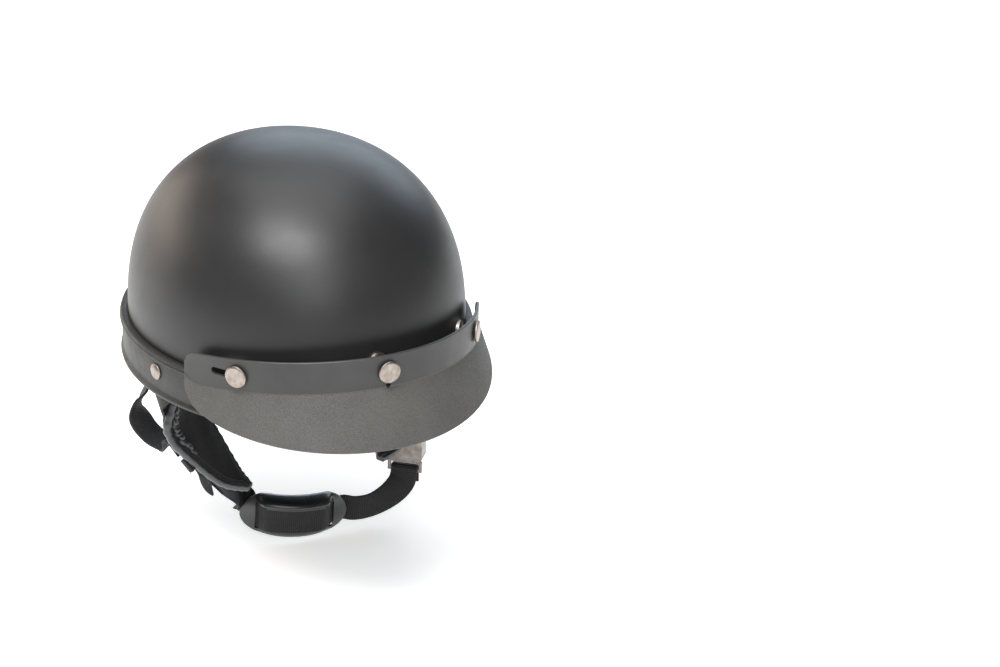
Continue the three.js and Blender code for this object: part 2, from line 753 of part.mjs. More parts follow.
add('rear_strap_right', rearStrap([
  { at: V(-91, 63, -24), across: V(0.4, 0.9, 0.02) },
  { at: V(-90, 63, -40), across: V(0.35, 0.92, 0.05) },
  { at: V(-98, 57, -51.5), across: V(0.6, 0.75, 0.1) },
  { at: V(-99, 51, -61), across: V(0.85, 0.45, 0.1) },
  { at: V(-94, 40, -69), across: V(0.82, 0.55, 0.12) },
  { at: V(-88, 24, -68.5), across: V(0.8, 0.6, 0.15) },
], [0.47, 0.55]), WEBBING);
add('rear_strap_left', mirrored(rearStrap([
  { at: V(-96, 60, -14), across: V(0.3, 0.95, 0) },
  { at: V(-101, 50, -30), across: V(0.2, 0.8, 0.6) },
  { at: V(-104, 32, -36), across: V(0.2, 0.7, 0.7) },
], [0.24, 0.32])), WEBBING);
add('strap_keeper_right', strapKeeper(0.62), WEBBING);
add('strap_keeper_left', mirrored(strapKeeper(0.42)), WEBBING);
add('buckle_housing', buckleHousing(), STEEL);
add('release_button', releaseButton(), RED);
add('buckle_tongue', buckleTongue(), STEEL);
add('chin_webbing', chinWebbing(), WEBBING);
add('chin_cup', chinCup(), PLASTIC);

export default group;
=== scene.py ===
"""Looks of the motorcycle half helmet. The shape code is in millimetres, scaled to metres at the end."""
import math
import random

import bmesh
import bpy
from mathutils import Matrix, Vector


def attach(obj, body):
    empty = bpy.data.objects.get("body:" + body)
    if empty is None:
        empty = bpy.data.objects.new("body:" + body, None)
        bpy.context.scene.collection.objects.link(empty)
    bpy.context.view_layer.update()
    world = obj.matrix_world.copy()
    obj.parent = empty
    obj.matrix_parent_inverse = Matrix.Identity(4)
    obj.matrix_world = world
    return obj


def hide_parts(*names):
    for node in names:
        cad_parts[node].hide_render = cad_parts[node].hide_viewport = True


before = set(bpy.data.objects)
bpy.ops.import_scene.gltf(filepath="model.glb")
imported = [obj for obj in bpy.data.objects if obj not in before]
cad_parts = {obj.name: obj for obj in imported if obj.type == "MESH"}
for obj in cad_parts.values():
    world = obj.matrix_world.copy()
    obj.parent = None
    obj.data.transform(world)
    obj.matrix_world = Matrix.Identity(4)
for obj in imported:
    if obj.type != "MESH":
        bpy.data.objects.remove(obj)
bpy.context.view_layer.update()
random.seed(7)
MM = 0.001

# ---------------------------------------------------------------- camera

CAMERA_AT = Vector((-0.4828, -1.1507, 0.5712))
CAMERA_AIM = Vector((0.1199, -0.0765, 0.0186))
CAMERA_ROLL = math.radians(2.06)


def make_camera():
    data = bpy.data.cameras.new("camera")
    data.lens = 70
    data.sensor_width = 36
    data.clip_start = 0.01
    camera = bpy.data.objects.new("camera", data)
    bpy.context.collection.objects.link(camera)
    look = (CAMERA_AIM - CAMERA_AT).to_track_quat("-Z", "Y").to_matrix()
    turn = look @ Matrix.Rotation(CAMERA_ROLL, 3, "Z")
    camera.matrix_world = Matrix.Translation(CAMERA_AT) @ turn.to_4x4()
    bpy.context.scene.camera = camera


make_camera()

# ---------------------------------------------------------------- materials


class Look:
    """A Principled material being built: shorthands for the nodes the looks below share."""

    def __init__(self, name, color, roughness, metallic=0.0, **sockets):
        self.material = bpy.data.materials.new(name)
        self.material.use_nodes = True
        self.tree = self.material.node_tree
        self.shader = self.tree.nodes["Principled BSDF"]
        self.put("Base Color", (*color, 1))
        self.put("Roughness", roughness)
        self.put("Metallic", metallic)
        for socket, value in sockets.items():
            self.put(socket.replace("_", " "), value)
        self.height = None

    def put(self, socket, value):
        self.shader.inputs[socket].default_value = value

    def node(self, kind, **values):
        node = self.tree.nodes.new(kind)
        for key, value in values.items():
            if key in node.inputs:
                node.inputs[key].default_value = value
            else:
                setattr(node, key, value)
        return node

    def join(self, source, target):
        self.tree.links.new(source, target)

    def place(self, stretch=(1, 1, 1), uv=False):
        coords = self.node("ShaderNodeTexCoord")
        mapping = self.node("ShaderNodeMapping")
        mapping.inputs["Scale"].default_value = stretch
        self.join(coords.outputs["UV" if uv else "Object"], mapping.inputs["Vector"])
        return mapping.outputs["Vector"]

    def noise(self, scale, detail=3.0, rough=0.55, stretch=(1, 1, 1), uv=False):
        node = self.node("ShaderNodeTexNoise", Scale=scale, Detail=detail, Roughness=rough)
        self.join(self.place(stretch, uv), node.inputs["Vector"])
        return node.outputs["Fac"]

    def cells(self, scale, feature="F1", stretch=(1, 1, 1), randomness=1.0):
        node = self.node("ShaderNodeTexVoronoi", Scale=scale, Randomness=randomness)
        node.feature = feature
        self.join(self.place(stretch), node.inputs["Vector"])
        return node.outputs["Distance"]

    def waves(self, scale, axis, distortion=0.0, uv=True):
        node = self.node("ShaderNodeTexWave", Scale=scale, Distortion=distortion, Detail=1.0)
        node.bands_direction = axis
        node.wave_profile = "SIN"
        self.join(self.place(uv=uv), node.inputs["Vector"])
        return node.outputs["Fac"]

    def mottle(self, scale, detail, dark, light):
        """Base colour that wanders between two tones."""
        self.color(self.blend(self.remap(self.noise(scale, detail), 0.3, 0.7), dark, light))

    def remap(self, value, low, high, to_low=0.0, to_high=1.0):
        node = self.node("ShaderNodeMapRange")
        for name, number in zip(("From Min", "From Max", "To Min", "To Max"), (low, high, to_low, to_high)):
            node.inputs[name].default_value = number
        self.join(value, node.inputs["Value"])
        return node.outputs["Result"]

    def math(self, operation, a, b):
        node = self.node("ShaderNodeMath", operation=operation)
        for index, value in enumerate((a, b)):
            if isinstance(value, (int, float)):
                node.inputs[index].default_value = value
            else:
                self.join(value, node.inputs[index])
        return node.outputs["Value"]

    def blend(self, factor, low, high):
        node = self.node("ShaderNodeMix", data_type="RGBA")
        for index, value in ((6, low), (7, high)):
            if isinstance(value, tuple):
                node.inputs[index].default_value = (*value, 1)
            else:
                self.join(value, node.inputs[index])
        self.join(factor, node.inputs[0])
        return node.outputs[2]

    def color(self, value):
        self.join(value, self.shader.inputs["Base Color"])

    def rough(self, value):
        self.join(value, self.shader.inputs["Roughness"])

    def bump(self, value, distance_mm, strength=1.0):
        node = self.node("ShaderNodeBump", Strength=strength, Distance=distance_mm * MM)
        self.join(value, node.inputs["Height"])
        if self.height is not None:
            self.join(self.height, node.inputs["Normal"])
        self.height = node.outputs["Normal"]
        self.join(self.height, self.shader.inputs["Normal"])


def shell_paint():
    look = Look("shell_paint", (0.03, 0.03, 0.032), 0.42, Specular_IOR_Level=0.5)
    cloud = look.remap(look.noise(9, 4), 0.3, 0.7)
    look.color(look.blend(cloud, (0.011, 0.011, 0.012), (0.017, 0.017, 0.0175)))
    look.rough(look.remap(look.noise(34, 5, 0.65), 0.25, 0.75, 0.4, 0.47))
    look.bump(look.noise(420, 2), 0.035)
    look.bump(look.noise(2600, 1), 0.012)
    return look.material


def band_rubber():
    look = Look("band_rubber", (0.06, 0.06, 0.062), 0.5)
    grain = look.cells(900, "DISTANCE_TO_EDGE")
    crease = look.remap(grain, 0.0, 0.25)
    look.color(look.blend(crease, (0.01, 0.01, 0.0102), (0.024, 0.0235, 0.023)))
    look.rough(look.remap(look.noise(60, 4), 0.3, 0.7, 0.42, 0.58))
    look.bump(crease, 0.06, 0.6)
    look.bump(look.noise(180, 3), 0.08, 0.6)
    return look.material


def flange_plastic():
    look = Look("flange_plastic", (0.075, 0.074, 0.072), 0.38)
    look.mottle(30, 4, (0.026, 0.026, 0.026), (0.037, 0.0365, 0.036))
    look.rough(look.remap(look.noise(90, 5, 0.6), 0.3, 0.7, 0.4, 0.5))
    look.bump(look.noise(800, 2), 0.02)
    return look.material


def peak_plastic():
    look = Look("peak_plastic", (0.14, 0.137, 0.13), 0.6)
    sand = look.remap(look.noise(2300, 2, 0.7), 0.38, 0.62)
    patch = look.remap(look.noise(22, 4), 0.3, 0.7, 0.0, 0.35)
    speck = look.math("ADD", sand, patch)
    look.color(look.blend(look.remap(speck, 0.0, 1.35), (0.038, 0.037, 0.035), (0.11, 0.107, 0.1)))
    look.rough(look.remap(sand, 0, 1, 0.72, 0.5))
    look.bump(sand, 0.09, 0.8)
    return look.material


def nickel():
    look = Look("nickel", (0.74, 0.66, 0.58), 0.3, 1.0)
    brush = look.noise(700, 3, 0.6, (1, 0.12, 1))
    look.mottle(260, 4, (0.25, 0.215, 0.19), (0.42, 0.37, 0.33))
    look.rough(look.remap(brush, 0.3, 0.7, 0.32, 0.5))
    look.bump(brush, 0.01)
    return look.material


def plated_steel():
    look = Look("plated_steel", (0.28, 0.25, 0.23), 0.36, 1.0)
    wear = look.remap(look.noise(150, 5, 0.6), 0.35, 0.7)
    look.color(look.blend(wear, (0.19, 0.165, 0.15), (0.36, 0.325, 0.3)))
    look.rough(look.remap(look.noise(420, 3), 0.3, 0.7, 0.28, 0.48))
    look.bump(look.noise(900, 2), 0.012)
    return look.material


def webbing(name="webbing_nylon"):
    look = Look(name, (0.01, 0.01, 0.011), 0.76, Sheen_Weight=0.08, Sheen_Roughness=0.4)
    rib = look.waves(math.pi / 10 / 0.0014, "X", 0.6)
    across = look.waves(math.pi / 10 / 0.0024, "Y", 2.0)
    fuzz = look.noise(1800, 3, 0.7)
    body = look.math("ADD", look.math("MULTIPLY", rib, 0.9), look.math("MULTIPLY", across, 0.12))
    look.color(look.blend(look.remap(body, 0.1, 1.0), (0.003, 0.003, 0.0034), (0.019, 0.019, 0.02)))
    look.rough(look.remap(fuzz, 0.3, 0.7, 0.62, 0.82))
    look.bump(body, 0.3, 0.9)
    look.bump(fuzz, 0.06, 0.7)
    return look.material


def fleece():
    look = Look("pad_fleece", (0.008, 0.008, 0.0085), 0.95, Sheen_Weight=0.06, Sheen_Roughness=0.6)
    curl = look.noise(900, 5, 0.75)
    look.color(look.blend(look.remap(curl, 0.3, 0.7), (0.003, 0.003, 0.0033), (0.014, 0.014, 0.015)))
    look.bump(curl, 0.5, 0.9)
    look.bump(look.noise(160, 4), 0.7, 0.6)
    return look.material


def vinyl():
    look = Look("pad_vinyl", (0.035, 0.036, 0.039), 0.34, Coat_Weight=0.25, Coat_Roughness=0.25)
    grain = look.remap(look.cells(1100, "DISTANCE_TO_EDGE"), 0.0, 0.3)
    look.mottle(60, 4, (0.028, 0.029, 0.031), (0.045, 0.046, 0.049))
    look.rough(look.remap(look.noise(130, 4), 0.3, 0.7, 0.28, 0.44))
    look.bump(grain, 0.03, 0.5)
    look.bump(look.noise(90, 3), 0.35, 0.7)
    return look.material


def cup_plastic():
    look = Look("cup_plastic", (0.018, 0.019, 0.021), 0.3, Coat_Weight=0.5, Coat_Roughness=0.18)
    look.mottle(40, 4, (0.009, 0.0095, 0.0105), (0.015, 0.0155, 0.0165))
    look.rough(look.remap(look.noise(110, 5, 0.65), 0.3, 0.7, 0.25, 0.4))
    look.bump(look.noise(500, 2), 0.02)
    return look.material


def red_plastic():
    look = Look("button_red", (0.4, 0.015, 0.02), 0.35)
    look.mottle(200, 4, (0.34, 0.012, 0.017), (0.45, 0.02, 0.024))
    look.rough(look.remap(look.noise(400, 3), 0.3, 0.7, 0.28, 0.44))
    return look.material


def foam():
    look = Look("liner_foam", (0.05, 0.05, 0.052), 0.85)
    bead = look.cells(330, "F1")
    look.color(look.blend(look.remap(bead, 0.0, 0.7), (0.075, 0.075, 0.077), (0.035, 0.035, 0.037)))
    look.rough(look.remap(bead, 0.0, 0.8, 0.75, 0.95))
    look.bump(look.remap(bead, 0, 0.8, 1, 0), 0.5, 0.7)
    return look.material


def cloth(name, dark, light, pitch_mm=1.1):
    look = Look(name, light, 0.9, Sheen_Weight=0.3, Sheen_Roughness=0.5)
    knit = look.cells(1000 / pitch_mm, "F1", randomness=0.35)
    look.color(look.blend(look.remap(knit, 0.1, 0.7), light, dark))
    look.rough(look.remap(look.noise(500, 3), 0.3, 0.7, 0.82, 0.97))
    look.bump(look.remap(knit, 0, 0.7, 1, 0), 0.25, 0.8)
    look.bump(look.noise(45, 3), 0.9, 0.5)
    return look.material


def thread():
    look = Look("thread", (0.03, 0.03, 0.031), 0.6)
    look.mottle(2500, 2, (0.018, 0.018, 0.019), (0.05, 0.05, 0.05))
    look.bump(look.noise(3000, 2), 0.05)
    return look.material


PAINT = shell_paint()
BAND = band_rubber()
FLANGE = flange_plastic()
PEAK = peak_plastic()
NICKEL = nickel()
STEEL = plated_steel()
WEB = webbing()
FLEECE = fleece()
VINYL = vinyl()
CUP = cup_plastic()
RED = red_plastic()
FOAM = foam()
LINING = cloth("lining_cloth", (0.006, 0.006, 0.0065), (0.022, 0.022, 0.023))
THREAD = thread()

# ---------------------------------------------------------------- shape tools

A, B, SKIRT, RISE, SQUARE = 113.5, 131.0, 29.7, 121.8, 0.86
BAND_TOP = 29.7
FLANGE_A, FLANGE_B = 118.7, 147.1


def wall(theta, offset, z, a=A, b=B):
    normal = Vector((math.sin(theta) / a, -math.cos(theta) / b, 0)).normalized()
    return Vector((a * math.sin(theta), -b * math.cos(theta), z)) + normal * offset


def curve_point(points, travel):
    """Centripetal Catmull-Rom through the points, with travel from 0 to 1."""
    place = travel * (len(points) - 1)
    i = min(int(place), len(points) - 2)
    w = place - i
    p1, p2 = points[i], points[i + 1]
    p0 = points[i - 1] if i > 0 else p1 * 2 - p2
    p3 = points[i + 2] if i + 2 < len(points) else p2 * 2 - p1
    d0, d1, d2 = ((b - a).length_squared ** 0.25 for a, b in ((p0, p1), (p1, p2), (p2, p3)))
    d1 = d1 if d1 > 1e-4 else 1.0
    d0 = d0 if d0 > 1e-4 else d1
    d2 = d2 if d2 > 1e-4 else d1
    t1 = ((p1 - p0) / d0 - (p2 - p0) / (d0 + d1) + (p2 - p1) / d1) * d1
    t2 = ((p2 - p1) / d1 - (p3 - p1) / (d1 + d2) + (p3 - p2) / d2) * d1
    return p1 + t1 * w + (p2 * 3 - p1 * 3 - t1 * 2 - t2) * w ** 2 + (p1 * 2 - p2 * 2 + t1 + t2) * w ** 3


def curve_tangent(points, travel):
    a, b = max(0.0, travel - 1e-4), min(1.0, travel + 1e-4)
    return (curve_point(points, b) - curve_point(points, a)).normalized()


def mesh_object(name, verts, faces, material, uvs=None, smooth=40):
    mesh = bpy.data.meshes.new(name)
    mesh.from_pydata([tuple(v * MM) for v in verts], [], faces)
    for m in material if isinstance(material, (list, tuple)) else [material]:
        mesh.materials.append(m)
    if uvs:
        layer = mesh.uv_layers.new(name="UVMap")
        for loop in mesh.loops:
            layer.data[loop.index].uv = uvs[loop.vertex_index]
    obj = bpy.data.objects.new(name, mesh)
    bpy.context.collection.objects.link(obj)
    tidy_normals(obj, smooth)
    return obj


def tidy_normals(obj, smooth=40):
    bm = bmesh.new()
    bm.from_mesh(obj.data)
    bmesh.ops.remove_doubles(bm, verts=bm.verts, dist=1e-7)
    bmesh.ops.recalc_face_normals(bm, faces=bm.faces)
    limit = math.radians(smooth)
    for face in bm.faces:
        face.smooth = True
    for edge in bm.edges:
        edge.smooth = len(edge.link_faces) == 2 and edge.calc_face_angle(0) < limit
    bm.to_mesh(obj.data)
    bm.free()


def loft(name, rings, material, closed=False, uvs=None, smooth=40):
    """A skin over equal closed rings of points, capped at its ends unless the rings close on themselves."""
    n = len(rings[0])
    verts = [p for ring in rings for p in ring]
    faces = []
    last = len(rings) if closed else len(rings) - 1
    for i in range(last):
        j = (i + 1) % len(rings)
        faces += [(i * n + k, i * n + (k + 1) % n, j * n + (k + 1) % n, j * n + k) for k in range(n)]
    if not closed:
        faces.append(tuple(range(n - 1, -1, -1)))
        faces.append(tuple((len(rings) - 1) * n + k for k in range(n)))
    return mesh_object(name, verts, faces, material, uvs, smooth)


def rim_ring(name, profile, material, segments=192, smooth=40):
    rings = [
        [wall(2 * math.pi * i / segments, offset, z) for offset, z in profile] for i in range(segments)
    ]
    return loft(name, rings, material, closed=True, smooth=smooth)


def turned(name, profile, place, material, segments=48, smooth=35):
    """A turned piece about +Z of the frame `place`. The profile runs axis to axis, or closes on itself."""
    rings = []
    for i in range(segments):
        turn = 2 * math.pi * i / segments
        rings.append([place @ Vector((r * math.cos(turn), r * math.sin(turn), h)) for r, h in profile])
    return loft(name, rings, material, closed=True, smooth=smooth)


def facing(point, outward):
    z = outward.normalized()
    x = Vector((0, 0, 1)).cross(z).normalized()
    y = z.cross(x)
    place = Matrix((x, y, z)).transposed().to_4x4()
    place.translation = point
    return place


def cut(obj, tools):
    """Takes the tools away from the object for good."""
    for tool in tools:
        change = obj.modifiers.new("cut", "BOOLEAN")
        change.operation = "DIFFERENCE"
        change.solver = "EXACT"
        change.object = tool
    bake(obj)
    for tool in tools:
        bpy.data.objects.remove(tool)


def bake(obj):
    graph = bpy.context.evaluated_depsgraph_get()
    mesh = bpy.data.meshes.new_from_object(obj.evaluated_get(graph))
    obj.modifiers.clear()
    old = obj.data
    obj.data = mesh
    bpy.data.meshes.remove(old)


def bevel(obj, width_mm, segments=2, angle=35):
    change = obj.modifiers.new("bevel", "BEVEL")
    change.width = width_mm * MM
    change.segments = segments
    change.limit_method = "ANGLE"
    change.angle_limit = math.radians(angle)
    bake(obj)
    tidy_normals(obj, 50)


def prism(name, outline, low, high, place, material):
    """An outline in the frame's X and Y, drawn out along its Z."""
    n = len(outline)
    verts = [place @ Vector((x, y, z)) for z in (low, high) for x, y in outline]
    faces = [(i, (i + 1) % n, n + (i + 1) % n, n + i) for i in range(n)]
    faces += [tuple(range(n - 1, -1, -1)), tuple(range(n, 2 * n))]
    return mesh_object(name, verts, faces, material)


def box(name, size, centre, place, material):
    x, y, z = (s / 2 for s in size)
    outline = [(centre[0] + a * x, centre[1] + b * y) for a, b in ((-1, -1), (1, -1), (1, 1), (-1, 1))]
    return prism(name, outline, centre[2] - z, centre[2] + z, place, material)


def rounded(w, h, r, steps=5):
    """Outline of a rounded rectangle 2w by 2h."""
    out = []
    corners = ((w - r, h - r, 0), (-w + r, h - r, 90), (-w + r, -h + r, 180), (w - r, -h + r, 270))
    for cx, cy, start in corners:
        for i in range(steps + 1):
            turn = math.radians(start + 90 * i / steps)
            out.append((cx + r * math.cos(turn), cy + r * math.sin(turn)))
    return out


WEB_WIDTH, WEB_THICK = 20.0, 1.8


def ribbon(name, stops, steps, material, width=WEB_WIDTH, thickness=WEB_THICK, bow=0.0):
    """Flat webbing with rounded selvedges; stops are (point, across)."""
    line = [s[0] for s in stops]
    edge = [s[1] for s in stops]
    w, t = width / 2, thickness / 2
    section = [(-w, 0.0), (-w + 0.35, t * 0.8), (-w + 1.0, t), (-w / 2, t), (0, t), (w / 2, t), (w - 1.0, t),
               (w - 0.35, t * 0.8), (w, 0.0), (w - 0.35, -t * 0.8), (w - 1.0, -t), (w / 2, -t), (0, -t),
               (-w / 2, -t), (-w + 1.0, -t), (-w + 0.35, -t * 0.8)]
    rings, uvs, run, before = [], [], 0.0, None
    for i in range(steps + 1):
        travel = i / steps
        at = curve_point(line, travel)
        along = curve_tangent(line, travel)
        across = curve_point(edge, travel)
        across = (across - along * across.dot(along)).normalized()
        face = along.cross(across).normalized()
        run += 0 if before is None else (at - before).length
        before = at
        for u, v in section:
            uvs.append((run * MM, (u + v) * MM))
        rings.append([at + across * u + face * (v + bow * (1 - (u / w) ** 2)) for u, v in section])
    return loft(name, rings, material, uvs=uvs, smooth=50)


# ---------------------------------------------------------------- shell, liner, band


def dome_profile(inset, rows=40):
    out = []
    for i in range(rows + 1):
        t = math.pi / 2 * i / rows
        r = 0.0 if i == rows else math.cos(t) ** SQUARE
        out.append((r, SKIRT + (RISE - inset) * math.sin(t) ** SQUARE))
    return out


def dome_grid(name, layers, material, segments=144):
    """layers: (inset, points) pairs, with points as (share of radius, height), joined into one skin."""
    rings = []
    for i in range(segments):
        turn = 2 * math.pi * i / segments
        ring = []
        for inset, points in layers:
            for r, z in points:
                ring.append(Vector(((A - inset) * r * math.sin(turn), -(B - inset) * r * math.cos(turn), z)))
        rings.append(ring)
    n = len(rings[0])
    verts = [p for ring in rings for p in ring]
    faces = []
    for i in range(segments):
        j = (i + 1) % segments
        faces += [(i * n + k, i * n + k + 1, j * n + k + 1, j * n + k) for k in range(n - 1)]
    return mesh_object(name, verts, faces, material, smooth=45)


def outer_shell():
    outer = [(1.0, 2.0), (1.0, 12.0), (1.0, 22.0)] + dome_profile(0)
    inner = dome_profile(4)[::-1] + [(1.0, 12.0), (1.0, 2.0)]
    shell = dome_grid("shell_skin", [(0, outer), (4, inner), (0, [(1.0, 2.0)])], PAINT)
    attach(shell, "helmet")
    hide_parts("outer_shell")


def rim_band():
    outline = [(4.6, 0.0), (5.7, 0.5), (6.0, 1.8), (5.6, 3.2), (4.5, 3.9), (4.35, 4.6), (4.4, 5.4),
               (4.5, 12.0), (4.5, 18.0), (4.4, BAND_TOP - 6.0), (4.3, BAND_TOP - 5.2), (4.5, BAND_TOP - 4.6),
               (5.4, BAND_TOP - 4.3), (5.9, BAND_TOP - 3.5), (5.6, BAND_TOP - 2.6), (5.0, BAND_TOP - 2.2),
               (5.0, BAND_TOP - 1.9), (5.3, BAND_TOP - 1.3), (5.0, BAND_TOP - 0.5), (4.2, BAND_TOP),
               (1.0, BAND_TOP), (0.2, BAND_TOP - 0.3), (0.2, 1.8), (-3.3, 1.8), (-3.5, 1.0), (-3.2, 0.1)]
    band = rim_ring("band_leather", outline, BAND, smooth=60)
    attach(band, "helmet")
    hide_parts("rim_band")


def headband():
    back, front = -24.8, -32.4
    rings = []
    for i in range(192):
        theta = 2 * math.pi * i / 192
        panel = abs(math.sin(theta * 4))
        puff = 1.6 * panel ** 0.5 - 1.0
        outline = [(back, 13), (back, 46), (back - 2.5, 51), (front + 4, 51.5), (front + 1, 49),
                   (front - puff, 42), (front - puff, 32), (front - puff, 22), (front + 1, 14.5),
                   (front + 4, 12.3), (back - 1, 12.2)]
        rings.append([wall(theta, o, z) for o, z in outline])
    pad = loft("headband_cloth", rings, LINING, closed=True, smooth=80)
    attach(pad, "helmet")
    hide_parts("headband_pad")


def crown_lining():
    """Quilted cloth dome: ribs run down from a button at the crown."""
    rows, segments = 26, 144
    base, inset = 54.0, 22.8
    verts, faces = [], []
    for side, depth in ((0, 0.0), (1, 2.8)):
        for i in range(rows + 1):
            t = math.asin(((base - SKIRT) / (RISE - inset)) ** (1 / SQUARE))
            t += (math.pi / 2 - t) * i / rows
            r, z = math.cos(t) ** SQUARE if i < rows else 0.0, SKIRT + (RISE - inset) * math.sin(t) ** SQUARE
            for k in range(segments):
                turn = 2 * math.pi * k / segments
                rise = math.sin(math.pi * min(1, i / rows * 1.1))
                puff = 1.0 * abs(math.sin(turn * 4)) ** 0.6 * rise if side else 0
                scale = (1 - (depth + puff) / 95.0)
                verts.append(Vector(((A - inset) * r * math.sin(turn) * scale,
                                     -(B - inset) * r * math.cos(turn) * scale, (z - SKIRT) * scale + SKIRT)))
    ring = segments
    block = (rows + 1) * ring
    for side in (0, 1):
        for i in range(rows):
            for k in range(ring):
                a = side * block + i * ring + k
                b = side * block + i * ring + (k + 1) % ring
                faces.append((a, b, b + ring, a + ring))
    for k in range(ring):
        faces.append((k, (k + 1) % ring, block + (k + 1) % ring, block + k))
    cover = mesh_object("crown_cloth", verts, faces, LINING, smooth=80)
    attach(cover, "helmet")
    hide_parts("crown_lining")


# ---------------------------------------------------------------- visor and snaps

FLANGE_END = math.radians(63)
SIDE_SNAP = math.radians(45.2)
SNAPS = (("center", 0.0, "visor"), ("left", SIDE_SNAP, "snap_left"), ("right", -SIDE_SNAP, "snap_right"))


def flange_point(theta, offset):
    point = wall(theta, offset, 0, FLANGE_A, FLANGE_B)
    point.z = 43.9 - 0.127 * (wall(theta, 0, 0, FLANGE_A, FLANGE_B).y + FLANGE_B)
    return point


def snap_frame(theta):
    point = flange_point(theta, 0)
    return facing(point, flange_point(theta, 1) - point)


def visor_section(theta):
    ease = abs(theta) / FLANGE_END
    round_end = math.sqrt(max(0.0, 1 - max(0.0, (ease - 0.9) / 0.1) ** 2))
    half = 11.25 * (0.35 + 0.65 * round_end)
    grow = max(0.0, math.cos(math.pi / 2 * ease)) ** 0.53

    def peak(f):
        return 20 * grow * f, -(half + 33.4 * grow * (f + 0.12 * f * (f - 1)))

    out = [(0.6, half), (1.0, half - 0.4)]
    out += [(1.0, half - 0.4 - (2 * half - 1.4) * k / 7) for k in range(1, 8)]
    outer = [peak(k / 12) for k in range(13)]
    out += [(1.0 + x, z) for x, z in outer]
    tip_x, tip_z = outer[-1]
    out += [(0.6 + tip_x, tip_z - 0.7), (-0.3 + tip_x, tip_z - 1.0), (-1.0 + tip_x, tip_z - 0.6)]
    out += [(-1.0 + x * 0.97, z - 0.8) for x, z in outer[-2:0:-1]]
    out += [(-1.0, -half - 0.3 + (2 * half - 0.2) * k / 8) for k in range(9)]
    out += [(-0.6, half)]
    return out


def visor():
    steps = 160
    rings = []
    for i in range(steps + 1):
        theta = (2 * i / steps - 1) * FLANGE_END
        ring = []
        for offset, height in visor_section(theta):
            point = flange_point(theta, offset)
            point.z += height
            ring.append(point)
        rings.append(ring)
    body = loft("visor_moulding", rings, [FLANGE, PEAK], smooth=40)
    tools = []
    for name, theta, _ in SNAPS:
        place = snap_frame(theta)
        if theta == 0:
            keyhole = [(-4.4, 1.0), (4.4, 1.0), (1.2, -10.6), (0, -11.8), (-1.2, -10.6)]
            tools.append(prism("notch", keyhole, -4, 4, place, FLANGE))
        else:
            reach = math.copysign(17, theta)
            slot = [(x + reach / 2, y) for x, y in rounded(10.9, 2.4, 2.3)]
            tools.append(prism("slot", slot, -4, 4, place, FLANGE))
    cut(body, tools)
    for face in body.data.polygons:
        c = body.matrix_world @ face.center / MM
        theta = math.atan2(c.x / FLANGE_A, -c.y / FLANGE_B)
        base = flange_point(max(-FLANGE_END, min(FLANGE_END, theta)), 0)
        lower = visor_section(max(-FLANGE_END, min(FLANGE_END, theta)))[8][1]
        face.material_index = 1 if c.z - base.z < lower - 0.4 else 0
    tidy_normals(body, 32)
    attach(body, "visor")
    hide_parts("visor")


def shell_depth(theta):
    place = snap_frame(theta)
    rise = (flange_point(theta, 0).z - SKIRT) / RISE
    shrink = math.cos(math.asin(rise ** (1 / SQUARE))) ** SQUARE
    depth = 0.0
    while True:
        depth += 0.05
        p = place @ Vector((0, 0, -depth))
        if math.hypot(p.x / A, p.y / B) <= shrink:
            return depth


def snaps():
    for name, theta, body in SNAPS:
        place = snap_frame(theta)
        under, top = 1.9, -1.9
        cap = turned(f"cap_{name}", [
            (0, top - 0.2), (1.9, top - 0.2), (1.9, under), (6.6, under),
            (7.1, under + 0.1), (7.45, under + 0.5),
            (7.5, under + 0.9), (7.35, under + 1.35), (6.95, under + 1.7),
            (6.3, under + 1.85), (5.9, under + 1.9),
            (5.6, under + 1.88), (3, under + 1.98), (0, under + 2)], place, NICKEL, 64, 30)
        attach(cap, body)
        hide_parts(f"snap_cap_{name}")
        socket = turned(f"socket_{name}", [
            (5.7, top), (2.2, top), (2.2, top - 0.4), (3.8, top - 0.6), (3.8, top - 3.4), (4.9, top - 3.4),
            (5.6, top - 3.1), (6, top - 2.4), (6, top - 0.3)], place, STEEL, 48, 30)
        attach(socket, body)
        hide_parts(f"snap_socket_{name}")
        depth = shell_depth(theta)
        head = top - 0.5
        stud = turned(f"stud_{name}", [
            (0, -depth - 2), (6.2, -depth - 2), (6.5, -depth + 0.6), (6.3, -depth + 1.5), (5.2, -depth + 2.4),
            (4.2, -depth + 2.7), (3, -depth + 2.8), (2.8, -depth + 3.4), (2.8, head - 2.2), (3.2, head - 1.6),
            (3.3, head - 1.0), (3.0, head - 0.3), (2.4, head), (0, head)], place, STEEL, 48, 30)
        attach(stud, "helmet")
        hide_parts(f"snap_stud_{name}")


RIVETS = (("side_left", 75.6), ("side_right", -75.6), ("rear_left", 120.0), ("rear_right", -120.0))


def rivets():
    for name, degrees in RIVETS:
        theta = math.radians(degrees)
        place = facing(wall(theta, 0, 17), wall(theta, 1, 17) - wall(theta, 0, 17))
        seat = 4.7
        rivet = turned(f"rivet_head_{name}", [
            (0, -10), (2.6, -9.9), (2.9, -9.5), (2.9, -9.1), (1.8, -9.1), (1.8, seat),
            (5.2, seat), (5.5, seat + 0.3),
            (5.35, seat + 0.8), (4.6, seat + 1.3), (3.4, seat + 1.7), (1.8, seat + 1.93), (0, seat + 2)],
            place, NICKEL, 48, 35)
        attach(rivet, "helmet")
        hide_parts(f"rivet_{name}")
        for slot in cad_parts[f"washer_{name}"].material_slots:
            slot.material = STEEL


# ---------------------------------------------------------------- ear pads and straps

